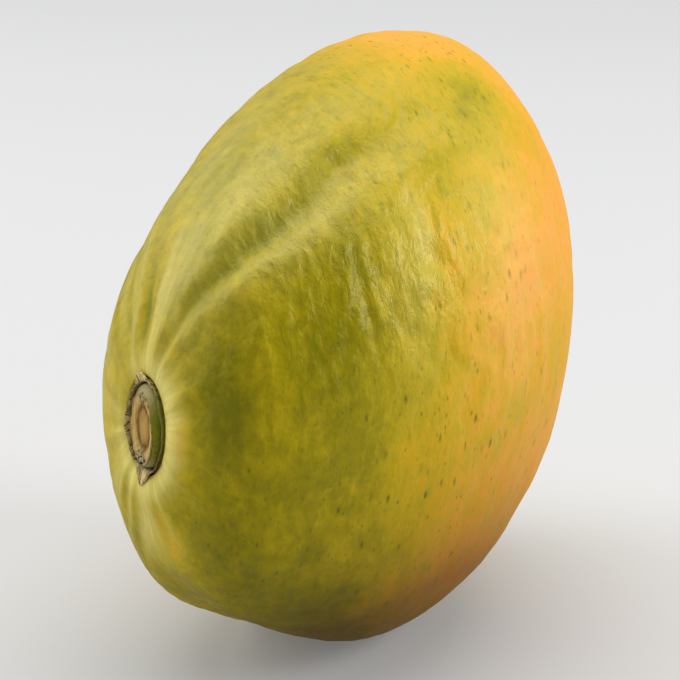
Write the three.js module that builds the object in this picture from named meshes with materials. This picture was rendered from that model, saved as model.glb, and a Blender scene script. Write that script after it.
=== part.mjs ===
// A whole ripening papaya that lies on its side, in millimetres, with +Z up.
// The stem end points to -X and the blossom end to +X.
// The origin is under the middle of the fruit, on the surface that it rests on.
import * as THREE from 'three';

// Body: an egg along X, whose cross-section is an upright oval
const halfLength = 84; // from the middle to either end, along X
const blossomRise = 4; // height of the blossom end above the middle
const halfHeight = 68.7; // from the middle to the top
const topLean = 3.6; // sideways lean of the top, towards -Y
const halfWidth = 53.3; // from the middle to either flank, along Y
const flankSkew = 27; // the -Y flank is fullest this far towards the stem end
const bellySide = -4.2; // sideways bow of the belly against the two ends
const bellySag = -1.4; // downward bow of the belly against the two ends
const eggTaper = 0.13; // share by which the blossom half is fatter and the stem half thinner
const middleFill = 0.02; // share by which the middle is fatter than an egg's

// Rings where the body swells or narrows: share of the radius, polar angle, spread
const rings = [
  { share: 0.04, at: 0.66, spread: 0.235 }, // shoulder
  { share: -0.013, at: 1.02, spread: 0.28 }, // waist behind the shoulder
  { share: 0.01, at: 2.35, spread: 0.45 }, // full blossom half
];

// Five valleys run from the stem between five lobes. Turns are degrees round the axis:
// 0 is the -Y flank and 90 the top. Each valley bends by its twist as it nears the stem,
// and the lobe that follows it swells at the shoulder.
const valleys = [
  { turn: 61, twist: 9, depth: 1, width: 1, swell: 0.004 },
  { turn: 135, twist: -12, depth: 0.75, width: 1, swell: 0.002 },
  { turn: 205, twist: 4, depth: 0.8, width: 1.1, swell: 0.017 },
  { turn: 277, twist: -4, depth: 1.6, width: 1.4, swell: 0 },
  { turn: 343, twist: 0, depth: 0.35, width: 1, swell: 0 },
];
const valley = { share: 0.034, halfAngle: 0.15, at: 0.75, fadeIn: 0.33, fadeOut: 0.75 };
const bank = { rise: 0.4, fromValley: 1.75, width: 1.1 }; // against the valley's own
const twistSpread = 0.6;
const swelling = { at: 0.76, spread: 0.38, halfAngle: 0.42 };
const lobeWave = { atBlossom: 0.003, more: 0.005, at: 0.8, spread: 0.9 }; // shares of the radius

// Stem end: a shallow dish, a raised rim round the socket, and small folds in the skin
const dish = { depth: 0.104, spread: 0.42 }; // share of the half length
const rim = { rise: 0.018, at: 0.25, spread: 0.09 }; // share of the half length
const socketLean = { depth: 1.2, spread: 0.2 }; // how far the socket's +Y side lies back, in mm
const folds = { rise: 0.45, at: 0.36, spread: 0.13, count: 13, finerCount: 21 }; // rise in mm
const blossomDimple = { depth: 1.8, spread: 0.16 }; // depth in mm

// Stem and its socket. Radii are those of a round stem with this mean body radius:
// the body's oval section narrows them sideways and stretches them upwards.
const meanRadius = 64;
const socketRadius = 9.9;
const socketDepth = 3;
const gap = 0.3;
const stubBaseRadius = 8.8;
const stubTopRadius = 7.8;
const stubHeight = 1.3; // from the socket's edge to the middle of the cut face
const cutSlant = 0.8; // how much further the cut face stands out at its -Y edge
const stubDroop = 0.5; // how far the cut face hangs down
const stubWear = 0.02; // share by which the stub is out of round
const faceHollow = 0.7; // depth of the worn face inside its bark
const pithRadius = 2.8;

// Calyx: a thin dry collar between stem and skin, with five pointed scales
const collarWall = 0.5;
const collarHeight = 0.3; // from the socket's edge, between the scales
const scaleHalfAngle = 0.4; // radians
const scales = [
  { turn: 35, height: 0.4, reach: 0.4 }, // reach is how far its tip lies over the rim
  { turn: 104, height: 0.6, reach: 2.2 },
  { turn: 184, height: 0.6, reach: 0.4 },
  { turn: 268, height: 0.6, reach: 2.6 },
  { turn: 326, height: 0.3, reach: 0.3 },
];

// Flat spot that the fruit rests on
const flatDepth = 2.6; // how far the round underside is pressed in
const flatEase = 0.4; // half height of the rounding into the flat

// Faces of the solids
const fruitSegments = 84;
const fruitRows = 60;
const socketRows = 2;
const rowCrowding = 1.15; // above 1, rows are closer together near the stem
const stemSegments = 48;
const collarSegments = 80;

const axisVector = new THREE.Vector3(halfLength, 0, blossomRise);
const topVector = new THREE.Vector3(0, -topLean, halfHeight);
const flankVector = new THREE.Vector3(-flankSkew, -halfWidth, 0);
const bellyVector = new THREE.Vector3(0, bellySide, bellySag);
const stemOut = new THREE.Vector3().crossVectors(flankVector, topVector).normalize();

function bump(distance, spread) {
  return Math.exp(-((distance / spread) ** 2));
}

// Angle from a turn in degrees to one in radians, the short way round
function angleFrom(degrees, turn) {
  const angle = turn - THREE.MathUtils.degToRad(degrees) + Math.PI;
  return THREE.MathUtils.euclideanModulo(angle, 2 * Math.PI) - Math.PI;
}

// Share of the radius that the five lobes and the valleys between them add
function lobeShare(polar, turn) {
  const count = valleys.length;
  const wave = lobeWave.atBlossom + lobeWave.more * bump(polar - lobeWave.at, lobeWave.spread);
  const strength = bump(polar - valley.at, polar < valley.at ? valley.fadeIn : valley.fadeOut);
  let share = -wave * Math.cos(count * angleFrom(valleys[0].turn, turn));
  for (const { turn: start, twist, depth, width, swell } of valleys) {
    const halfAngle = valley.halfAngle * width;
    const fromValley = angleFrom(start + twist * bump(polar, twistSpread), turn);
    const fromBank = Math.abs(fromValley) - bank.fromValley * halfAngle;
    const fromLobe = angleFrom(start + 180 / count, turn);
    const groove = bump(fromValley, halfAngle) - bank.rise * bump(fromBank, bank.width * halfAngle);
    share -= valley.share * depth * strength * groove;
    share += swell * bump(fromLobe, swelling.halfAngle) * bump(polar - swelling.at, swelling.spread);
  }
  return share;
}

// A place on the skin: polar is 0 at the stem and pi at the blossom end
function skinPoint(polar, turn) {
  const along = -Math.cos(polar);
  const across = Math.sin(polar);
  let share = lobeShare(polar, turn);
  for (const ring of rings) {
    share += ring.share * bump(polar - ring.at, ring.spread);
  }
  const egg = 1 + eggTaper * along + middleFill * (1 / 3 - along ** 2);
  const radius = across * egg * (1 + share);
  const hollow = dish.depth * bump(polar, dish.spread) - rim.rise * bump(polar - rim.at, rim.spread);
  const dimple = blossomDimple.depth * bump(Math.PI - polar, blossomDimple.spread);
  const foldWave = 0.6 * Math.sin(folds.count * turn + 1) + 0.4 * Math.sin(folds.finerCount * turn + 4);
  const fold = folds.rise * foldWave * bump(polar - folds.at, folds.spread);
  const lean = leanOut(turn) - 0.5 * socketLean.depth;
  const leanShare = bump(polar - socketPolar, socketLean.spread);
  return new THREE.Vector3()
    .addScaledVector(axisVector, along + hollow - dimple / halfLength)
    .addScaledVector(flankVector, radius * Math.cos(turn))
    .addScaledVector(topVector, radius * Math.sin(turn))
    .addScaledVector(bellyVector, across ** 2 - 0.5)
    .addScaledVector(stemOut, fold + lean * leanShare);
}

// How far the socket's edge stands out at a turn, against its centre
function leanOut(turn) {
  return 0.5 * socketLean.depth * Math.cos(turn);
}

const socketPolar = Math.asin(socketRadius / meanRadius / (1 - eggTaper - middleFill));
const socketCentre = skinPoint(socketPolar, 0).lerp(skinPoint(socketPolar, Math.PI), 0.5);

// A place in or on the stem: radius round the stem, height out from the socket's edge
function stemPoint(radius, turn, height) {
  const droop = (stubDroop * Math.max(0, height)) / stubHeight;
  return socketCentre
    .clone()
    .addScaledVector(flankVector, (radius / meanRadius) * Math.cos(turn))
    .addScaledVector(topVector, (radius / meanRadius) * Math.sin(turn) - droop / halfHeight)
    .addScaledVector(stemOut, height + (radius / socketRadius) * leanOut(turn));
}

// Moves every vertex of a sphere or ring to place(v, turn), where v is its height on the map
function reshape(geometry, place) {
  const { position, uv } = geometry.attributes;
  for (let index = 0; index < position.count; index += 1) {
    const point = place(uv.getY(index), 2 * Math.PI * uv.getX(index));
    position.setXYZ(index, point.x, point.y, point.z);
  }
  geometry.computeVertexNormals();
  geometry.computeBoundingBox();
  return geometry;
}

// The fruit: the floor of its socket, the socket's wall, and the skin to the blossom end
function fruitGeometry() {
  const skinRows = fruitRows - socketRows - 1;
  return reshape(new THREE.SphereGeometry(1, fruitSegments, fruitRows), (v, turn) => {
    const row = Math.round((1 - v) * fruitRows);
    if (row <= socketRows) {
      return stemPoint((socketRadius * row) / socketRows, turn, -socketDepth);
    }
    const share = ((row - socketRows - 1) / skinRows) ** rowCrowding;
    return skinPoint(socketPolar + (Math.PI - socketPolar) * share, turn);
  });
}

// The stem: pith, hollow of the cut face, bark round it, side and foot
function stubGeometry() {
  const outline = [
    [0, stubHeight - 0.6 * faceHollow],
    [0.5 * pithRadius, stubHeight - 0.6 * faceHollow],
    [pithRadius, stubHeight - faceHollow],
    [2 * pithRadius, stubHeight - 0.8 * faceHollow],
    [0.88 * stubTopRadius, stubHeight - 0.1],
    [0.96 * stubTopRadius, stubHeight],
    [stubTopRadius, stubHeight - 0.3],
    [0.97 * stubBaseRadius, 0.15],
    [stubBaseRadius, -0.6],
    [stubBaseRadius, gap - socketDepth],
    [0, gap - socketDepth],
  ];
  const rows = outline.length - 1;
  return reshape(new THREE.SphereGeometry(1, stemSegments, rows), (v, turn) => {
    const [radius, height] = outline[Math.round((1 - v) * rows)];
    const wear = stubWear * (Math.cos(2 * turn + 1) + 0.6 * Math.cos(3 * turn + 2) - 1.6);
    const slant = height > 0.5 * stubHeight ? (cutSlant * radius * Math.cos(turn)) / stubTopRadius : 0;
    return stemPoint(radius * (1 + wear), turn, height + slant);
  });
}

// The calyx: a ring of six-cornered section whose upper edge rises into the scales
function calyxGeometry() {
  const inside = socketRadius - gap - collarWall;
  const outside = socketRadius - gap;
  const foot = gap - socketDepth;
  const corners = [
    [outside, 0.7 * collarHeight, 0],
    [outside, collarHeight, 1],
    [outside - 0.5 * collarWall, collarHeight + 0.6 * collarWall, 1],
    [inside, 0.7 * collarHeight, 0],
    [inside, foot, 0],
    [outside, foot, 0],
  ];
  const ring = new THREE.TorusGeometry(outside, collarWall, corners.length, collarSegments);
  return reshape(ring, (v, turn) => {
    const [radius, height, tip] = corners[Math.round(v * corners.length) % corners.length];
    let rise = 0;
    let reach = 0;
    for (const scale of scales) {
      const toEdge = 1 - Math.abs(angleFrom(scale.turn, turn)) / scaleHalfAngle;
      rise = Math.max(rise, scale.height * toEdge);
      reach = Math.max(reach, scale.reach * toEdge);
    }
    return stemPoint(radius + tip * reach, turn, height + tip * rise);
  });
}

// Presses the round underside flat, with a short rounding into the flat
function pressFlat(geometry) {
  const position = geometry.attributes.position;
  const floor = geometry.boundingBox.min.z + flatDepth;
  for (let index = 0; index < position.count; index += 1) {
    const height = position.getZ(index) - floor;
    if (height < flatEase) {
      const eased = Math.max(0, height + flatEase) ** 2 / (4 * flatEase);
      position.setZ(index, floor + eased);
    }
  }
  geometry.computeVertexNormals();
  geometry.computeBoundingBox();
  return geometry;
}

const skinFinish = new THREE.MeshStandardMaterial({ color: 0xb5a136, roughness: 0.4, metalness: 0 });
const stemFinish = new THREE.MeshStandardMaterial({ color: 0x8d8a44, roughness: 0.75, metalness: 0 });
const calyxFinish = new THREE.MeshStandardMaterial({ color: 0x5d4a2c, roughness: 0.9, metalness: 0 });

const fruit = new THREE.Mesh(pressFlat(fruitGeometry()), skinFinish);
const stub = new THREE.Mesh(stubGeometry(), stemFinish);
const calyx = new THREE.Mesh(calyxGeometry(), calyxFinish);
fruit.name = 'papaya_fruit';
stub.name = 'stem_stub';
calyx.name = 'calyx_collar';

const box = fruit.geometry.boundingBox;
const middle = box.getCenter(new THREE.Vector3());
const papaya = new THREE.Group();
for (const piece of [fruit, stub, calyx]) {
  piece.position.set(-middle.x, -middle.y, -box.min.z);
  papaya.add(piece);
}

export default papaya;
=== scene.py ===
from math import cos, pi, radians, sin

import bmesh
import bpy
import numpy as np
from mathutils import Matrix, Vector


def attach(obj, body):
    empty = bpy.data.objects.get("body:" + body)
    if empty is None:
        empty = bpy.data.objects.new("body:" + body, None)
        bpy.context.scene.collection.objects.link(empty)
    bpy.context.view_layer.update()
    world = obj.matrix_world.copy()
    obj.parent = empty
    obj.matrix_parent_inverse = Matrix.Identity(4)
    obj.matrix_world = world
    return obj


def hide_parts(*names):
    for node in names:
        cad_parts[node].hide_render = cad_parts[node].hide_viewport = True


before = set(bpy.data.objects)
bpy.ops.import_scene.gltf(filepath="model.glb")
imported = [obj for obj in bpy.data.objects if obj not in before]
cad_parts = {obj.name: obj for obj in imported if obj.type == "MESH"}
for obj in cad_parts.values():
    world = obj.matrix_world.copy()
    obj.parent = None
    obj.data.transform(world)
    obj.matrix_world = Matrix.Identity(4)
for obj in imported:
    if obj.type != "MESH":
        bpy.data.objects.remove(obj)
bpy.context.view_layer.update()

# Camera
# It stands about two thirds of a metre from the fruit, a little above it, and looks at the
# flank and the stem end. A long lens keeps the outline an upright oval.
camera_aim = Vector((-0.0027, 0.0015, 0.0667))
camera_distance = 0.65
camera_turn = radians(-59)
camera_rise = radians(14)
to_camera = Vector((
    sin(camera_turn) * cos(camera_rise),
    -cos(camera_turn) * cos(camera_rise),
    sin(camera_rise),
))
camera_data = bpy.data.cameras.new("studio_camera")
camera_data.sensor_width = 36
camera_data.lens = 147.5
camera = bpy.data.objects.new("studio_camera", camera_data)
camera.location = camera_aim + camera_distance * to_camera
camera.rotation_mode = "QUATERNION"
camera.rotation_quaternion = (-to_camera).to_track_quat("-Z", "Y")
bpy.context.collection.objects.link(camera)
bpy.context.scene.camera = camera
bpy.context.scene.view_settings.view_transform = "Standard"

# Floor and backdrop
# A pale matt sheet that runs out of sight and glows faintly, as painted light that lifts the
# shadows on it and lights the fruit a little from below, with the same sheet as a wall all
# round it for the low views. Only the camera sees the wall, so it changes nothing on the fruit.


def linear(hex_colour):
    """An sRGB hex colour as linear RGBA."""
    shares = [int(hex_colour[i:i + 2], 16) / 255 for i in (1, 3, 5)]
    return (*[s / 12.92 if s <= 0.04045 else ((s + 0.055) / 1.055) ** 2.4 for s in shares], 1)


FLOOR_RADIUS = 1.7
WALL_HEIGHT = 2.4
FLOOR_GLOW = 0.14
paper = bpy.data.materials.new("pale_matt_sheet")
paper.use_nodes = True
shader = paper.node_tree.nodes["Principled BSDF"]
shader.inputs["Base Color"].default_value = linear("#b8b8b8")
# The sheet's glow is painted light, not a lamp.
shader.inputs["Emission Color"].default_value = linear("#fbfbfb")
shader.inputs["Emission Strength"].default_value = FLOOR_GLOW
shader.inputs["Roughness"].default_value = 0.9
shader.inputs["Specular IOR Level"].default_value = 0.2
for name, wall_height in (("floor", 0), ("backdrop", WALL_HEIGHT)):
    mesh = bpy.data.meshes.new(name)
    shape = bmesh.new()
    bmesh.ops.create_circle(shape, cap_ends=not wall_height, radius=FLOOR_RADIUS, segments=96)
    if wall_height:
        raised = bmesh.ops.extrude_edge_only(shape, edges=shape.edges[:])["geom"]
        corners = [part for part in raised if isinstance(part, bmesh.types.BMVert)]
        bmesh.ops.translate(shape, verts=corners, vec=(0, 0, wall_height))
    shape.to_mesh(mesh)
    shape.free()
    mesh.materials.append(paper)
    stage_piece = bpy.data.objects.new(name, mesh)
    bpy.context.collection.objects.link(stage_piece)
    if wall_height:
        stage_piece.visible_shadow = False
        stage_piece.visible_diffuse = False
        stage_piece.visible_glossy = False

# Light
# One large soft panel hangs above the fruit and a little behind it, and one stands at either
# side, as for a product photo. A dim surround fills the shadows. Each panel is its name, its
# side in metres, its watts and its place from the fruit's middle.
SURROUND_COLOUR = "#f4f5f6"
SURROUND_STRENGTH = 0.4
fruit_middle = Vector((0, 0, 0.07))
rightwards = Vector((cos(camera_turn), sin(camera_turn), 0))
towards = Vector((sin(camera_turn), -cos(camera_turn), 0))
upwards = Vector((0, 0, 1))
PANELS = [
    ("panel_above", 3.6, 92, -0.45 * towards + 3.0 * upwards),
    ("panel_left", 1.1, 12, -1.4 * rightwards - 0.4 * towards + 0.8 * upwards),
    ("panel_right", 0.8, 13, 1.4 * rightwards + 0.12 * towards + 0.64 * upwards),
]
world = bpy.data.worlds.new("dim_surround")
world.use_nodes = True
background = world.node_tree.nodes["Background"]
background.inputs["Color"].default_value = linear(SURROUND_COLOUR)
background.inputs["Strength"].default_value = SURROUND_STRENGTH
bpy.context.scene.world = world
for name, side, watts, offset in PANELS:
    panel_data = bpy.data.lights.new(name, "AREA")
    panel_data.shape = "SQUARE"
    panel_data.size = side
    panel_data.energy = watts
    panel = bpy.data.objects.new(name, panel_data)
    panel.location = fruit_middle + offset
    panel.rotation_mode = "QUATERNION"
    panel.rotation_quaternion = (-offset).to_track_quat("-Z", "Y")
    panel.visible_camera = False
    bpy.context.collection.objects.link(panel)

# Fruit
# One papaya, still ripening: a thin waxy skin over firm flesh, with five valleys that run
# from the stem between five lobes. Its main form is that of the solid, and the finer relief
# of the skin is added to it. Lengths are millimetres until the mesh is placed.
MM = 0.001
AXIS = np.array((84.0, 0, 4.0))
TOP = np.array((0, -3.6, 68.7))
FLANK = np.array((-27.0, -53.3, 0))
BELLY = np.array((0, -4.2, -1.4))
STEM_OUT = np.cross(FLANK, TOP) / np.linalg.norm(np.cross(FLANK, TOP))
EGG_TAPER = 0.13
MIDDLE_FILL = 0.02
HOLLOW_SHARE = 0.104
HOLLOW_RIM = 0.018
DIMPLE_DEPTH = 1.8
FOLD_HEIGHT = 0.45

# Rings that swell or narrow the fruit: share of the radius, polar angle and spread.
RINGS = [(0.04, 0.66, 0.235), (-0.013, 1.02, 0.28), (0.01, 2.35, 0.45)]

# Valleys between the lobes: turn in degrees, twist towards the stem, depth and width against
# the main valley's, and how far the lobe beside it swells.
VALLEYS = [
    (61, 9, 1, 1, 0.004),
    (135, -12, 0.75, 1, 0.002),
    (205, 4, 0.8, 1.1, 0.017),
    (277, -4, 1.6, 1.4, 0),
    (343, 0, 0.35, 1, 0),
]
VALLEY_DEPTH = 0.034
VALLEY_HALF_ANGLE = 0.15
TWIST_SPREAD = 0.6
LOBES = 5
FLAT_DEPTH = 2.6
FLAT_EASE = 0.4


def bump(distance, spread):
    """A soft bump, 1 at its middle."""
    return np.exp(-(distance / spread) ** 2)


def angle_from(degrees, turn):
    """Angle from a turn in degrees to one in radians, the short way round."""
    return (turn - np.radians(degrees) + pi) % (2 * pi) - pi


def lobe_share(polar, turn):
    """Share of the radius that the five lobes and the valleys between them add."""
    wave = 0.003 + 0.005 * bump(polar - 0.8, 0.9)
    strength = bump(polar - 0.75, np.where(polar < 0.75, 0.33, 0.75))
    share = -wave * np.cos(LOBES * angle_from(VALLEYS[0][0], turn))
    for start, twist, depth, width, swell in VALLEYS:
        half_angle = VALLEY_HALF_ANGLE * width
        from_valley = angle_from(start + twist * bump(polar, TWIST_SPREAD), turn)
        from_bank = np.abs(from_valley) - 1.75 * half_angle
        groove = bump(from_valley, half_angle) - 0.4 * bump(from_bank, 1.1 * half_angle)
        from_lobe = angle_from(start + 180 / LOBES, turn)
        share = share - VALLEY_DEPTH * depth * strength * groove
        share = share + swell * bump(from_lobe, 0.42) * bump(polar - 0.76, 0.38)
    return share


def from_origin(*parts):
    """Adds up (amount, direction) pairs to places in mm."""
    return sum(np.multiply.outer(amount, direction) for amount, direction in parts)


def skin_point(polar, turn):
    """A place on the skin: polar is 0 at the stem and pi at the blossom end."""
    along = -np.cos(polar)
    across = np.sin(polar)
    share = lobe_share(polar, turn) + sum(s * bump(polar - at, spread) for s, at, spread in RINGS)
    radius = across * (1 + EGG_TAPER * along + MIDDLE_FILL * (1 / 3 - along**2)) * (1 + share)
    hollow = HOLLOW_SHARE * bump(polar, 0.42) - HOLLOW_RIM * bump(polar - 0.25, 0.09)
    dimple = DIMPLE_DEPTH * bump(pi - polar, 0.16)
    fold_wave = 0.6 * np.sin(13 * turn + 1) + 0.4 * np.sin(21 * turn + 4)
    fold = FOLD_HEIGHT * fold_wave * bump(polar - 0.36, 0.13)
    lean = 0.5 * SOCKET_LEAN * (np.cos(turn) - 1) * bump(polar - SOCKET_POLAR, 0.2)
    return from_origin(
        (along + hollow - dimple / AXIS[0], AXIS),
        (radius * np.cos(turn), FLANK),
        (radius * np.sin(turn), TOP),
        (across**2 - 0.5, BELLY),
        (fold + lean, STEM_OUT),
    )


MEAN_RADIUS = 64
SOCKET_RADIUS = 9.9
SOCKET_LEAN = 1.2
SOCKET_POLAR = float(np.arcsin(SOCKET_RADIUS / MEAN_RADIUS / (1 - EGG_TAPER - MIDDLE_FILL)))
SOCKET_CENTRE = skin_point(np.full(2, SOCKET_POLAR), np.array((0, pi))).mean(axis=0)
STUB_HEIGHT = 1.3
STUB_DROOP = 0.5


def stem_point(radius, turn, height):
    """A place in or on the stem: radius round it, and height out from the socket's edge."""
    droop = STUB_DROOP * np.maximum(0, height) / STUB_HEIGHT
    lean = 0.5 * SOCKET_LEAN * radius / SOCKET_RADIUS * np.cos(turn)
    return SOCKET_CENTRE + from_origin(
        (radius / MEAN_RADIUS * np.cos(turn), FLANK),
        (radius / MEAN_RADIUS * np.sin(turn) - droop / TOP[2], TOP),
        (height + lean, STEM_OUT),
    )


def vectors(mesh, field):
    """The places or normals of a mesh's vertices."""
    values = np.empty(len(mesh.vertices) * 3)
    mesh.vertices.foreach_get(field, values)
    return values.reshape(-1, 3)


def sphere_mesh(name, around, along):
    """A sphere's mesh, with each vertex's row from its first pole and its turn."""
    mesh = bpy.data.meshes.new(name)
    shape = bmesh.new()
    bmesh.ops.create_uvsphere(shape, u_segments=around, v_segments=along, radius=1)
    shape.to_mesh(mesh)
    shape.free()
    unit = vectors(mesh, "co")
    row = np.rint(np.arccos(np.clip(unit[:, 2], -1, 1)) / pi * along)
    turn = np.rint(np.arctan2(unit[:, 1], unit[:, 0]) / (2 * pi) * around) * 2 * pi / around
    return mesh, row, turn


AROUND = 360
ALONG = 268
SOCKET_ROWS = 14
ROW_CROWDING = 1.15
LIP_WIDTH = 1.06

# The socket's half section, as radius and height from its floor's middle out to the skin.
SOCKET_OUTLINE = [
    (0, -3),
    (9.3, -3),
    (9.75, -2.6),
    (9.85, -0.9),
    (9.95, -0.35),
    (10.15, -0.08),
    (10.5, 0.06),
]

fruit_mesh, row, turn = sphere_mesh("papaya_skin", AROUND, ALONG)
in_socket = row < SOCKET_ROWS
outline_share = np.clip(row / SOCKET_ROWS, 0, 1) * (len(SOCKET_OUTLINE) - 1)
outline_steps = np.arange(len(SOCKET_OUTLINE))
socket_radius = np.interp(outline_share, outline_steps, [r for r, h in SOCKET_OUTLINE])
socket_height = np.interp(outline_share, outline_steps, [h for r, h in SOCKET_OUTLINE])
lip_polar = SOCKET_POLAR * LIP_WIDTH
skin_share = np.clip((row - SOCKET_ROWS) / (ALONG - SOCKET_ROWS), 0, 1) ** ROW_CROWDING
polar = lip_polar + (pi - lip_polar) * skin_share
socket_places = stem_point(socket_radius, turn, socket_height)
places = np.where(in_socket[:, None], socket_places, skin_point(polar, turn))

floor_height = places[:, 2].min() + FLAT_DEPTH
from_floor = places[:, 2] - floor_height
eased = floor_height + np.maximum(0, from_floor + FLAT_EASE) ** 2 / (4 * FLAT_EASE)
places[:, 2] = np.where(from_floor < FLAT_EASE, eased, places[:, 2])
low, high = places.min(axis=0), places.max(axis=0)
TO_FRAME = np.array((-(low[0] + high[0]) / 2, -(low[1] + high[1]) / 2, -low[2]))


def move_vertices(mesh, points):
    """Moves the vertices to places in mm, centred as the solid is."""
    mesh.vertices.foreach_set("co", ((points + TO_FRAME) * MM).ravel())
    mesh.update()


LATTICE_SIDE = 32
LATTICE = np.random.default_rng(7).uniform(-1, 1, (LATTICE_SIDE,) * 3)


def noise_at(points, size):
    """Smooth noise from -1 to 1 at places in mm, with features of about that size in mm."""
    cell = np.floor(points / size)
    share = points / size - cell
    share = share * share * (3 - 2 * share)
    total = 0
    for corner in np.ndindex(2, 2, 2):
        index = ((cell + corner) % LATTICE_SIDE).astype(int)
        weight = np.where(corner, share, 1 - share).prod(axis=1)
        total = total + weight * LATTICE[index[:, 0], index[:, 1], index[:, 2]]
    return total


def patches(start, rows):
    """Soft spots on the skin, added to a start. A row is the polar angle in radians and the
    turn in degrees of a spot, its spread in each, and how much it adds at its middle."""
    total = start
    for at_polar, at_turn, polar_spread, turn_spread, amount in rows:
        from_turn = angle_from(at_turn, turn)
        spot = bump(polar - at_polar, polar_spread) * bump(from_turn, radians(turn_spread))
        total = total + amount * spot
    return total


# Relief in mm: soft lumps, a crinkled flank, fine folds that run to the stem, and a crease
# down the main valley with a low ridge beside it. Noise that follows the skin is drawn in
# ring_place, where the fruit is drawn out to a tube.
RING_LENGTH = 80
RING_RADIUS = 55
move_vertices(fruit_mesh, places)
ring_place = np.stack(
    (polar * RING_LENGTH, np.cos(turn) * RING_RADIUS, np.sin(turn) * RING_RADIUS), axis=1
)
away_from_stem = 1 - bump(polar, 0.42)
lumps = 0.4 * noise_at(places, 23) + 0.22 * noise_at(places, 10) + 0.1 * noise_at(places, 6)
CRINKLED_PATCHES = [
    (1.35, 32, 0.42, 38, 0.85),
    (1.75, 24, 0.32, 26, 0.9),
    (0.9, 60, 0.35, 28, 0.8),
    (1.8, 200, 0.8, 80, 0.25),
]
crinkled = away_from_stem * np.clip(patches(0.25, CRINKLED_PATCHES), 0, 1.2)
bent = ring_place + 3 * np.stack([noise_at(places + shift, 9) for shift in (11, 47, 83)], axis=1)
pillows = np.abs(noise_at(bent * (1, 0.45, 0.45), 3.8)) ** 0.7
crinkles = (
    0.75 * (pillows - 0.5)
    + 0.5 * noise_at(bent * (1, 0.55, 0.55) + 20, 6.5)
    + 0.34 * noise_at(bent * (1, 0.5, 0.5) + 40, 2.6)
    + 0.16 * noise_at(bent * (1, 0.7, 0.7) + 80, 1.8)
) * (0.8 + 0.5 * noise_at(ring_place + 60, 12))
fold_place = ring_place * (0.3, 1, 1)
stem_folds = noise_at(fold_place, 7) + 0.5 * noise_at(fold_place + 20, 3.5)
fold_side = 0.12 + 0.88 * bump(angle_from(120, turn), 1.0)
rib_row = np.sin(90 * turn + 3 * noise_at(ring_place, 7))

# The crease wanders a little along the main valley and sags below it in the middle. Its
# bands are how far each lies from it in radians, its spread and its height.
CREASE_MIDDLE = 0.85
CREASE_BANDS = [(-0.16, 0.09, 0.8), (0.01, 0.06, -0.8), (0.15, 0.085, 1.3)]
main_turn, main_twist = VALLEYS[0][:2]
wander = radians(2.2) * noise_at(ring_place * (1, 0, 0), 7)
sag = 0.055 * bump(polar - CREASE_MIDDLE, 0.3)
main_line = angle_from(main_turn + main_twist * bump(polar, TWIST_SPREAD), turn) + wander + sag
crease_run = bump(polar - CREASE_MIDDLE, 0.42)
crease_bands = sum(height * bump(main_line - at, spread) for at, spread, height in CREASE_BANDS)

# Single ridges and hollows, as rows for patches with a height in mm.
RIDGES = [
    (0.72, 27, 0.014, 9, 0.5),
    (1.36, 39, 0.022, 6, 0.6),
    (1.44, 42, 0.016, 5, -0.35),
    (1.5, 36, 0.02, 5, 0.35),
    (1.22, 30, 0.02, 6, 0.3),
    (0.45, 78, 0.16, 2.5, 0.45),
    (0.44, 104, 0.12, 3, -0.6),
    (0.52, 122, 0.12, 3, 0.45),
]
relief = patches(
    lumps
    + crinkles * crinkled
    + 0.4 * stem_folds * fold_side * bump(polar - 0.45, 0.22)
    + crease_run * crease_bands
    + rib_row * patches(0, [(0.5, 350, 0.12, 14, 0.14)]),
    RIDGES,
)

# The relief fades out over the last 4 mm above the flat spot and the first rows at the lip.
above_floor = np.clip((places[:, 2] - floor_height) / 4, 0, 1)
beyond_lip = np.clip((row - SOCKET_ROWS) / 5, 0, 1)
places = places + vectors(fruit_mesh, "normal") * (relief * above_floor * beyond_lip)[:, None]
move_vertices(fruit_mesh, places)

# Colour: ripeness runs from green at 0 to orange at 1, and is a little further on towards
# the blossom end.
RIPE_PATCHES = [
    (2.3, 40, 0.55, 90, 0.34),
    (1.75, 20, 0.32, 16, 0.32),
    (1.78, 88, 0.3, 22, 0.3),
    (1.85, 335, 0.35, 25, 0.2),
    (1.5, 322, 0.25, 16, 0.2),
    (1.82, 60, 0.16, 10, -0.3),
    (2.0, 5, 0.2, 12, -0.12),
    (0.66, 97, 0.14, 7, 0.2),
    (0.85, 97, 0.35, 20, -0.12),
    (0.72, 15, 0.12, 25, 0.1),
    (0.92, 8, 0.16, 22, -0.1),
    (1.45, 60, 0.25, 20, -0.07),
    (0.28, 5, 0.08, 18, 0.3),
    (0.44, 292, 0.16, 12, 0.24),
    (0.52, 12, 0.16, 30, -0.3),
    (0.95, 315, 0.4, 22, -0.22),
    (1.0, 20, 0.3, 32, -0.16),
    # This row darkens the flank below the main valley a little, as painted shade.
    (1.02, 38, 0.16, 12, -0.07),
    (0.62, 48, 0.16, 16, -0.1),
    (1.35, 25, 0.25, 30, 0.07),
    (0.75, 85, 0.35, 30, -0.08),
    (0.6, 290, 0.3, 40, -0.1),
    (1.4, 350, 0.3, 25, 0.14),
    (2.2, 190, 0.6, 60, 0.3),
    (1.2, 200, 0.35, 40, 0.18),
    (1.0, 150, 0.3, 25, -0.15),
]
ripeness = patches(0.33 + 0.12 * np.clip(polar - 1, 0, 1), RIPE_PATCHES)
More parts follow.
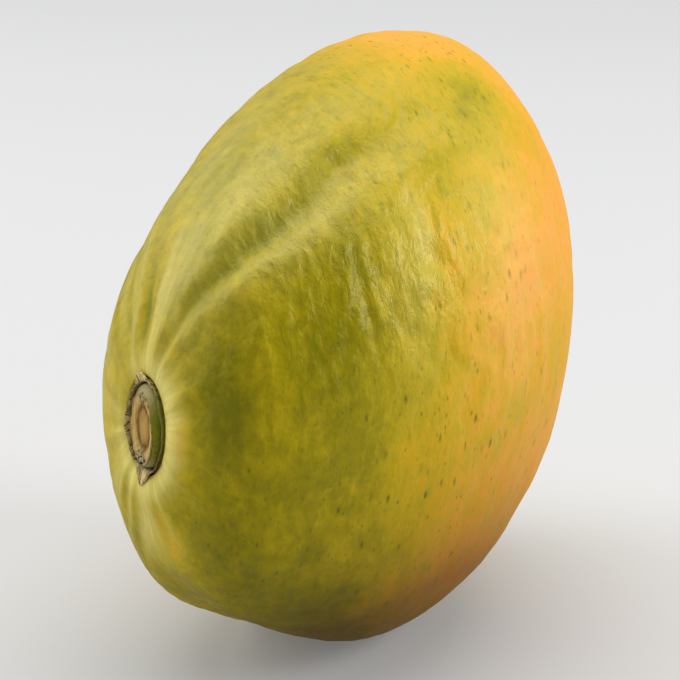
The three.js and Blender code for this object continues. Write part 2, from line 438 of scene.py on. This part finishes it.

# Pale skin and painted highlights: a band round the socket and ribs near the stem are pale
# skin, and most patches, on the banks beside the main valley and the ridges of the flank, are
# painted highlights.
PALE_SKIN_AND_HIGHLIGHT_PATCHES = [
    (0.27, 10, 0.06, 60, 0.5),
    (0.38, 272, 0.14, 14, 0.5),
    (1.7, 28, 0.2, 24, 0.3),
    (1.345, 37, 0.03, 9, 0.4),
    (1.28, 30, 0.12, 20, 0.2),
    (0.92, 56, 0.28, 9, 0.36),
    (0.82, 77, 0.3, 9, 0.36),
    (0.9, 100, 0.35, 20, 0.34),
]
PALE_RIBS = [(0.42, 98, 0.2, 32, 0.75), (0.34, 240, 0.16, 45, 0.55), (0.55, 170, 0.3, 50, 0.3)]
socket_band = bump(polar - 0.225, 0.055) * (1 - 0.7 * bump(angle_from(150, turn), 0.6))
rib_tone = np.clip(0.5 + 1.4 * noise_at(ring_place * (0.12, 1, 1), 8), 0, 1)
pale_skin_and_highlight = patches(0.65 * socket_band, PALE_SKIN_AND_HIGHLIGHT_PATCHES) + rib_tone * patches(0, PALE_RIBS)

# Specks, green flecks, painted shade on the belly, and the part of the skin that is still glossy.
SPECKLED_PATCHES = [(1.1, 325, 0.7, 45, 0.7), (1.75, 75, 0.3, 25, 0.6), (1.5, 0, 0.3, 30, 0.4)]
speckled = away_from_stem * patches(0.3, SPECKLED_PATCHES)
flecked = patches(0.25, [(1.4, 80, 0.5, 45, 0.75)])
belly_painted_shade = patches(0, [(1.6, 304, 0.55, 34, 1.25), (1.1, 290, 0.4, 22, 0.4)])
glossy = patches(0, [(1.25, 38, 0.6, 48, 1), (1.1, 90, 0.7, 40, 0.6)])
# Painted shade: a darker green band along the main valley's crease, and one along a crease near the
# stem.
crease_painted_shade = bump(main_line - 0.04, 0.085) * crease_run
SKIN_MAPS = {
    "skin_place": ring_place,
    "dull": 1 - np.clip(glossy, 0, 1),
    "ripeness": ripeness,
    "pale_skin_and_highlight": np.clip(pale_skin_and_highlight, 0, 1),
    "speckled": np.clip(speckled, 0, 1),
    "flecked": flecked,
    "crinkled": crinkled,
    "crease": patches(crease_painted_shade, [(0.42, 105, 0.13, 2, 1.6)]),
    "belly_painted_shade": np.clip(belly_painted_shade, 0, 1),
    "socket": np.clip(1 - (row - SOCKET_ROWS + 4) / 5, 0, 1),
    "scar": bump(pi - polar, 0.035 * (1 + 0.3 * np.cos(LOBES * turn))),
}


def store(mesh, maps):
    """Keeps numbers or vectors with a mesh's vertices, for its material to read."""
    for name, values in maps.items():
        is_vector = values.ndim == 2
        layer = mesh.attributes.new(name, "FLOAT_VECTOR" if is_vector else "FLOAT", "POINT")
        layer.data.foreach_set("vector" if is_vector else "value", values.astype(float).ravel())


def add_node(tree, kind, settings=None, inputs=None, stops=()):
    """Adds a node with its settings, its inputs and its colour stops. An input is a value, or
    an output of another node, which is linked. The first two stops take the ramp's own."""
    node = tree.nodes.new(kind)
    for name, value in (settings or {}).items():
        setattr(node, name, value)
    for key, value in (inputs or {}).items():
        if isinstance(value, bpy.types.NodeSocket):
            tree.links.new(value, node.inputs[key])
        else:
            node.inputs[key].default_value = value
    for index, (at, colour) in enumerate(stops):
        elements = node.color_ramp.elements
        element = elements[index] if index < 2 else elements.new(at)
        element.position = at
        element.color = linear(colour)
    return node


# Papaya skin, as it grew: a thin waxy cuticle over firm flesh. It gives broad satin
# highlights on the flank, which the crinkles break up, and is duller away from it. Pattern
# sizes are in mm, and one with three is drawn out along the fruit or round it.
BLOTCH = 15
MOTTLE = 4.5
GRAIN = 1.1
SMEAR = (3.4, 6, 6)
STREAK = (16, 4, 4)
CRINKLE = (2.2, 3.8, 3.8)
GRAIN_DEPTH = 0.12
CRINKLE_DEPTH = 0.5
PATTERN_MIDDLE = 0.63
CREASE_SHADE_STRENGTH = 0.45
DULLNESS = 0.38
skin = bpy.data.materials.new("waxy_ripening_papaya_skin")
skin.use_nodes = True
tree = skin.node_tree
shader = tree.nodes["Principled BSDF"]
shader.inputs["IOR"].default_value = 1.45
shader.inputs["Specular IOR Level"].default_value = 0.3
shader.inputs["Specular Tint"].default_value = linear("#fff6b8")
body = add_node(tree, "ShaderNodeTexCoord").outputs["Object"]
maps = {
    name: add_node(tree, "ShaderNodeAttribute", {"attribute_name": name}).outputs[
        "Vector" if values.ndim == 2 else "Fac"
    ]
    for name, values in SKIN_MAPS.items()
}
per_metre = 1 / MM
blotches = add_node(tree, "ShaderNodeTexNoise", None, {
    "Vector": body, "Scale": per_metre / BLOTCH, "Detail": 4, "Roughness": 0.6,
}).outputs["Fac"]
smear_place = add_node(tree, "ShaderNodeMapping", None, {
    "Vector": maps["skin_place"], "Scale": [1 / size for size in SMEAR],
}).outputs["Vector"]
smears = add_node(tree, "ShaderNodeTexNoise", None, {
    "Vector": smear_place, "Scale": 1, "Detail": 4, "Roughness": 0.65, "Distortion": 0.5,
}).outputs["Fac"]
mottle = add_node(tree, "ShaderNodeTexNoise", None, {
    "Vector": body, "Scale": per_metre / MOTTLE, "Detail": 3, "Roughness": 0.6, "Distortion": 0.8,
}).outputs["Fac"]
streak_place = add_node(tree, "ShaderNodeMapping", None, {
    "Vector": maps["skin_place"], "Scale": [1 / size for size in STREAK],
}).outputs["Vector"]
streaks = add_node(tree, "ShaderNodeTexNoise", None, {
    "Vector": streak_place, "Scale": 1, "Detail": 3, "Roughness": 0.6,
}).outputs["Fac"]
grain = add_node(tree, "ShaderNodeTexNoise", None, {
    "Vector": body, "Scale": per_metre / GRAIN, "Detail": 2, "Roughness": 0.5,
}).outputs["Fac"]
ripe = maps["ripeness"]
for pattern, weight in ((blotches, 0.5), (smears, 0.4), (mottle, 0.35)):
    ripe = add_node(tree, "ShaderNodeMath", {"operation": "MULTIPLY_ADD"}, {
        0: pattern, 1: weight, 2: ripe,
    }).outputs[0]
ripe = add_node(tree, "ShaderNodeMath", {"operation": "SUBTRACT"}, {
    0: ripe, 1: PATTERN_MIDDLE,
}).outputs[0]
colour = add_node(tree, "ShaderNodeValToRGB", None, {"Fac": ripe}, [
    (0.0, "#746f00"),
    (1.0, "#f29c40"),
    (0.2, "#948700"),
    (0.38, "#b59f06"),
    (0.55, "#cba50c"),
    (0.7, "#dea51f"),
    (0.85, "#eda43c"),
]).outputs["Color"]
# Painted shade: the belly, which faces the floor, is multiplied darker and browner.
colour = add_node(tree, "ShaderNodeMix", {"data_type": "RGBA", "blend_type": "MULTIPLY"}, {
    0: maps["belly_painted_shade"], 6: colour, 7: linear("#a68e40"),
}).outputs[2]
streaky = add_node(tree, "ShaderNodeMapRange", None, {
    "Value": streaks, "From Min": 0.35, "From Max": 0.65, "To Min": 0.7, "To Max": 1,
}).outputs["Result"]
# Pale skin and painted highlights are mixed in here, broken into streaks.
pale_and_highlight_share = add_node(tree, "ShaderNodeMath", {"operation": "MULTIPLY"}, {
    0: maps["pale_skin_and_highlight"], 1: streaky,
}).outputs[0]
colour = add_node(tree, "ShaderNodeMix", {"data_type": "RGBA"}, {
    0: pale_and_highlight_share, 6: colour, 7: linear("#e6d97c"),
}).outputs[2]
# Painted shade along the creases, in a darker green.
crease_shade_share = add_node(tree, "ShaderNodeMath", {"operation": "MULTIPLY"}, {
    0: maps["crease"], 1: CREASE_SHADE_STRENGTH,
}).outputs[0]
colour = add_node(tree, "ShaderNodeMix", {"data_type": "RGBA"}, {
    0: crease_shade_share, 6: colour, 7: linear("#6d7412"),
}).outputs[2]

# Dark pores and green flecks, one to a cell of a pattern: the map that spreads them, the
# cell's size in mm, a spot's reach in it, the share of bare cells, and the spot's colour.
SPOTS = [
    ("speckled", (2.3, 4.2, 4.2), 0.34, 0.52, "#444c0e"),
    ("speckled", (1.3, 2.0, 2.0), 0.36, 0.6, "#5f5c0c"),
    ("flecked", (1.1, 4.0, 4.0), 0.4, 0.6, "#7f8e0e"),
]
for where, cell, reach, rarity, tone in SPOTS:
    place = add_node(tree, "ShaderNodeMapping", None, {
        "Vector": maps["skin_place"], "Scale": [1 / size for size in cell],
    }).outputs["Vector"]
    cells = add_node(tree, "ShaderNodeTexVoronoi", None, {"Vector": place, "Scale": 1}).outputs
    core = add_node(tree, "ShaderNodeMapRange", {"interpolation_type": "SMOOTHSTEP"}, {
        "Value": cells["Distance"], "From Min": 0.04, "From Max": reach, "To Min": 0.85, "To Max": 0,
    }).outputs["Result"]
    chance = add_node(tree, "ShaderNodeSeparateColor", None, {
        "Color": cells["Color"],
    }).outputs["Red"]
    chosen = add_node(tree, "ShaderNodeMapRange", None, {
        "Value": chance, "From Min": rarity, "From Max": 0.95, "To Min": 0, "To Max": 1,
    }).outputs["Result"]
    share = core
    for limit in (chosen, maps[where]):
        share = add_node(tree, "ShaderNodeMath", {"operation": "MULTIPLY"}, {
            0: share, 1: limit,
        }).outputs[0]
    colour = add_node(tree, "ShaderNodeMix", {"data_type": "RGBA"}, {
        0: share, 6: colour, 7: linear(tone),
    }).outputs[2]

# The scar at the blossom end is brown tissue. The socket round the stalk is dark brown, partly
# bare tissue and partly painted shade in the gap round the stalk.
for where, tone in (("scar", "#4a3620"), ("socket", "#4a4420")):
    colour = add_node(tree, "ShaderNodeMix", {"data_type": "RGBA"}, {
        0: maps[where], 6: colour, 7: linear(tone),
    }).outputs[2]
tree.links.new(colour, shader.inputs["Base Color"])
roughness = add_node(tree, "ShaderNodeMapRange", None, {
    "Value": smears, "From Min": 0.3, "From Max": 0.7, "To Min": 0.2, "To Max": 0.34,
}).outputs["Result"]
roughness = add_node(tree, "ShaderNodeMath", {"operation": "MULTIPLY_ADD"}, {
    0: maps["dull"], 1: DULLNESS, 2: roughness,
}).outputs[0]
tree.links.new(roughness, shader.inputs["Roughness"])
grain_bump = add_node(tree, "ShaderNodeBump", None, {
    "Height": grain, "Distance": GRAIN_DEPTH * MM,
}).outputs["Normal"]
crinkle_place = add_node(tree, "ShaderNodeMapping", None, {
    "Vector": maps["skin_place"], "Scale": [1 / size for size in CRINKLE],
}).outputs["Vector"]
fine_crinkles = add_node(tree, "ShaderNodeTexNoise", None, {
    "Vector": crinkle_place, "Scale": 1, "Detail": 3, "Roughness": 0.55, "Distortion": 0.5,
}).outputs["Fac"]
crinkle_height = add_node(tree, "ShaderNodeMath", {"operation": "MULTIPLY"}, {
    0: fine_crinkles, 1: maps["crinkled"],
}).outputs[0]
normal = add_node(tree, "ShaderNodeBump", None, {
    "Height": crinkle_height, "Distance": CRINKLE_DEPTH * MM, "Normal": grain_bump,
}).outputs["Normal"]
tree.links.new(normal, shader.inputs["Normal"])


def add_piece(name, mesh, maps, material, node):
    """Adds a finished mesh as the piece that stands for a CAD node."""
    store(mesh, maps)
    mesh.materials.append(material)
    mesh.shade_smooth()
    piece = bpy.data.objects.new(name, mesh)
    bpy.context.collection.objects.link(piece)
    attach(piece, "root")
    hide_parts(node)


add_piece("papaya_skin", fruit_mesh, SKIN_MAPS, skin, "papaya_fruit")

# Stem
# The stump of the fruit's own stalk, broken off a little above the skin: green bark on its
# side, and a dry, fibrous tan face with a worn hollow and crusted edges. Its outline runs
# from the face's middle to its foot: share of the mesh's rows, radius and height in mm.
STUB_OUTLINE = [
    (0, 0, 0.7),
    (0.12, 1.4, 0.72),
    (0.24, 2.8, 0.62),
    (0.34, 4.2, 0.45),
    (0.41, 5, 0.7),
    (0.5, 6.6, 1.1),
    (0.56, 7.3, 1.28),
    (0.6, 7.62, 1.24),
    (0.63, 7.78, 1.02),
    (0.74, 8.45, 0.2),
    (0.82, 8.78, -0.6),
    (0.96, 8.75, -2.6),
    (1, 0, -2.7),
]
FACE_RADIUS = 7.8
FACE_EDGE = 0.63
CUT_SLANT = 0.8
WEAR = 0.02
STUB_AROUND = 180
STUB_ROWS = 110
stub_mesh, row, turn = sphere_mesh("stem_stump", STUB_AROUND, STUB_ROWS)
along, outline_radius, outline_height = np.array(STUB_OUTLINE).T
radius = np.interp(row / STUB_ROWS, along, outline_radius)
height = np.interp(row / STUB_ROWS, along, outline_height)
wear = WEAR * (np.cos(2 * turn + 1) + 0.6 * np.cos(3 * turn + 2) - 1.6)
slant = CUT_SLANT * radius / FACE_RADIUS * np.cos(turn) * np.clip((height + 0.2) / 0.8, 0, 1)
stub_place = np.stack((radius * np.cos(turn), radius * np.sin(turn), height), axis=1)
on_face = np.clip((FACE_EDGE - row / STUB_ROWS) / 0.02, 0, 1)
crusted = bump(radius - 6.6, 1.4) * (
    bump(angle_from(92, turn), 0.32) + bump(angle_from(272, turn), 0.5)
)
fibres = 0.16 * noise_at(stub_place * (1, 0.3, 1), 0.5)
crust = 0.5 * noise_at(stub_place, 0.8) + 0.35 * noise_at(stub_place + 9, 1.5)
ragged = 0.2 * noise_at(stub_place + 30, 1.2) * bump(row / STUB_ROWS - 0.58, 0.06)
height = height + slant + on_face * (fibres + crusted * crust) + ragged
radius = radius * (1 + wear)
move_vertices(stub_mesh, stem_point(radius, turn, height))
greyed = bump(angle_from(85, turn), 0.6) + 0.6 * bump(angle_from(300, turn), 0.35)
STUB_MAPS = {
    "stub_place": stub_place,
    "on_face": on_face,
    "from_pith": radius / FACE_RADIUS - 0.15,
    "crusted": np.clip(1.7 * crusted, 0, 1),
    "greyed": np.clip(greyed, 0, 1),
    "low": np.clip(-height / 1.5, 0, 1),
}

# Stalk of a papaya, dried where it broke: matt, with straw-coloured fibres in the face and
# green bark that has greyed at the top. Pattern sizes are in mm.
FIBRE = (0.45, 1.6, 0.45)
FIBRE_DEPTH = 0.25
PIT = 0.7
stalk = bpy.data.materials.new("dry_broken_papaya_stalk")
stalk.use_nodes = True
tree = stalk.node_tree
shader = tree.nodes["Principled BSDF"]
shader.inputs["Roughness"].default_value = 0.75
shader.inputs["IOR"].default_value = 1.45
shader.inputs["Specular IOR Level"].default_value = 0.2
maps = {
    name: add_node(tree, "ShaderNodeAttribute", {"attribute_name": name}).outputs[
        "Vector" if values.ndim == 2 else "Fac"
    ]
    for name, values in STUB_MAPS.items()
}
fibre_place = add_node(tree, "ShaderNodeMapping", None, {
    "Vector": maps["stub_place"], "Scale": [1 / size for size in FIBRE],
}).outputs["Vector"]
fibre_tone = add_node(tree, "ShaderNodeTexNoise", None, {
    "Vector": fibre_place, "Scale": 1, "Detail": 3, "Roughness": 0.7,
}).outputs["Fac"]
face_tone = add_node(tree, "ShaderNodeMath", {"operation": "MULTIPLY_ADD"}, {
    0: fibre_tone, 1: 0.3, 2: maps["from_pith"],
}).outputs[0]
# The face is pale in the middle and at its edge, with a brown ring on the wall of the worn hollow,
# partly darker tissue and partly painted shade.
face_colour = add_node(tree, "ShaderNodeValToRGB", None, {"Fac": face_tone}, [
    (0.0, "#bd9850"),
    (1.0, "#3e2a12"),
    (0.4, "#a8843c"),
    (0.5, "#6f4e1a"),
    (0.57, "#79581f"),
    (0.68, "#c09c50"),
    (0.8, "#cfb26a"),
    (0.9, "#a9884a"),
]).outputs["Color"]
pits = add_node(tree, "ShaderNodeTexNoise", None, {
    "Vector": maps["stub_place"], "Scale": 1 / PIT, "Detail": 2,
}).outputs["Fac"]
pit_share = add_node(tree, "ShaderNodeMapRange", None, {
    "Value": pits, "From Min": 0.42, "From Max": 0.55, "To Min": 0, "To Max": 1,
}).outputs["Result"]
crust_colour = add_node(tree, "ShaderNodeMix", {"data_type": "RGBA"}, {
    0: pit_share, 6: linear("#2f2416"), 7: linear("#b9a473"),
}).outputs[2]
face_colour = add_node(tree, "ShaderNodeMix", {"data_type": "RGBA"}, {
    0: maps["crusted"], 6: face_colour, 7: crust_colour,
}).outputs[2]
bark_green = add_node(tree, "ShaderNodeMix", {"data_type": "RGBA"}, {
    0: pits, 6: linear("#585a08"), 7: linear("#8d8c1e"),
}).outputs[2]
bark = add_node(tree, "ShaderNodeMix", {"data_type": "RGBA"}, {
    0: maps["greyed"], 6: bark_green, 7: linear("#a89c6c"),
}).outputs[2]
# The bark turns dark brown towards its foot, down in the socket's gap, partly dark tissue and partly
# painted shade.
bark = add_node(tree, "ShaderNodeMix", {"data_type": "RGBA"}, {
    0: maps["low"], 6: bark, 7: linear("#2c2212"),
}).outputs[2]
colour = add_node(tree, "ShaderNodeMix", {"data_type": "RGBA"}, {
    0: maps["on_face"], 6: bark, 7: face_colour,
}).outputs[2]
tree.links.new(colour, shader.inputs["Base Color"])
normal = add_node(tree, "ShaderNodeBump", None, {
    "Height": fibre_tone, "Distance": FIBRE_DEPTH * MM,
}).outputs["Normal"]
tree.links.new(normal, shader.inputs["Normal"])
add_piece("stem_stump", stub_mesh, STUB_MAPS, stalk, "stem_stub")

# Calyx
# What is left of the flower's calyx: a thin dry collar between the stalk and the skin,
# papery and brown, which spreads into five small scales. A scale is its turn in degrees,
# and how far its tip rises and reaches outwards in mm.
SCALE_HALF_ANGLE = 0.4
SCALES = [(35, 0.4, 0.4), (104, 0.6, 2.2), (184, 0.6, 0.4), (268, 0.6, 2.6), (326, 0.3, 0.3)]

# The collar's section: radius and height in mm, and how much of a scale's move it takes.
COLLAR_SECTION = [
    (9.6, -2.7, 0),
    (9.6, -0.4, 0),
    (9.6, 0.2, 0),
    (9.62, 0.32, 1),
    (9.5, 0.48, 1),
    (9.35, 0.56, 1),
    (9.22, 0.42, 0.6),
    (9.14, 0.2, 0),
    (9.1, -0.4, 0),
    (9.1, -2.7, 0),
]
COLLAR_STEPS = 240
calyx_mesh = bpy.data.meshes.new("dry_calyx")
shape = bmesh.new()
section = [shape.verts.new((radius, 0, height)) for radius, height, tip in COLLAR_SECTION]
rim_edges = [shape.edges.new((a, b)) for a, b in zip(section, section[1:] + section[:1])]
bmesh.ops.spin(
    shape, geom=section + rim_edges, cent=(0, 0, 0), axis=(0, 0, 1), dvec=(0, 0, 0),
    angle=2 * pi, steps=COLLAR_STEPS, use_merge=True, use_duplicate=False,
)
bmesh.ops.recalc_face_normals(shape, faces=shape.faces[:])
shape.to_mesh(calyx_mesh)
shape.free()
collar_place = vectors(calyx_mesh, "co")
turn = np.arctan2(collar_place[:, 1], collar_place[:, 0])
radius = np.hypot(collar_place[:, 0], collar_place[:, 1])
height = collar_place[:, 2]
nearest = np.argmin(
    [np.abs(radius - r) + np.abs(height - h) for r, h, tip in COLLAR_SECTION], axis=0
)
tip = np.array([t for r, h, t in COLLAR_SECTION])[nearest]
rise, reach = 0, 0
for at, scale_rise, scale_reach in SCALES:
    to_edge = 1 - np.abs(angle_from(at, turn)) / SCALE_HALF_ANGLE
    rise = np.maximum(rise, scale_rise * to_edge)
    reach = np.maximum(reach, scale_reach * to_edge)
level_place = collar_place * (1, 1, 0)
ragged = tip * (0.18 * noise_at(level_place, 0.9) + 0.14 * noise_at(level_place + 9, 2.2))
move_vertices(calyx_mesh, stem_point(radius + tip * reach, turn, height + tip * rise + ragged))
papery = (
    bump(angle_from(100, turn), 0.45)
    + bump(angle_from(268, turn), 0.4)
    + 0.5 * bump(angle_from(180, turn), 0.7)
)
CALYX_MAPS = {
    "collar_place": collar_place,
    "papery": np.clip(papery, 0, 1),
    "still_green": bump(angle_from(10, turn), 0.8),
}

# Dead calyx tissue: matt and papery, straw-coloured on the flaps, dark brown between them,
# and still greenish on the side that faces the fuller flank.
CALYX_FLECK = 0.8
FLECK_DEPTH = 0.3
calyx_skin = bpy.data.materials.new("dry_papery_calyx")
calyx_skin.use_nodes = True
tree = calyx_skin.node_tree
shader = tree.nodes["Principled BSDF"]
shader.inputs["Roughness"].default_value = 0.85
shader.inputs["Specular IOR Level"].default_value = 0.2
maps = {
    name: add_node(tree, "ShaderNodeAttribute", {"attribute_name": name}).outputs[
        "Vector" if values.ndim == 2 else "Fac"
    ]
    for name, values in CALYX_MAPS.items()
}
flecks = add_node(tree, "ShaderNodeTexNoise", None, {
    "Vector": maps["collar_place"], "Scale": 1 / CALYX_FLECK, "Detail": 3, "Roughness": 0.7,
}).outputs["Fac"]
straw = add_node(tree, "ShaderNodeValToRGB", None, {"Fac": flecks}, [
    (0.38, "#85622c"),
    (0.56, "#e6d494"),
]).outputs["Color"]
brown = add_node(tree, "ShaderNodeValToRGB", None, {"Fac": flecks}, [
    (0.4, "#2a170a"),
    (0.62, "#a88646"),
]).outputs["Color"]
colour = add_node(tree, "ShaderNodeMix", {"data_type": "RGBA"}, {
    0: maps["papery"], 6: brown, 7: straw,
}).outputs[2]
colour = add_node(tree, "ShaderNodeMix", {"data_type": "RGBA"}, {
    0: maps["still_green"], 6: colour, 7: linear("#7a7a26"),
}).outputs[2]
tree.links.new(colour, shader.inputs["Base Color"])
normal = add_node(tree, "ShaderNodeBump", None, {
    "Height": flecks, "Distance": FLECK_DEPTH * MM,
}).outputs["Normal"]
tree.links.new(normal, shader.inputs["Normal"])
add_piece("dry_calyx", calyx_mesh, CALYX_MAPS, calyx_skin, "calyx_collar")
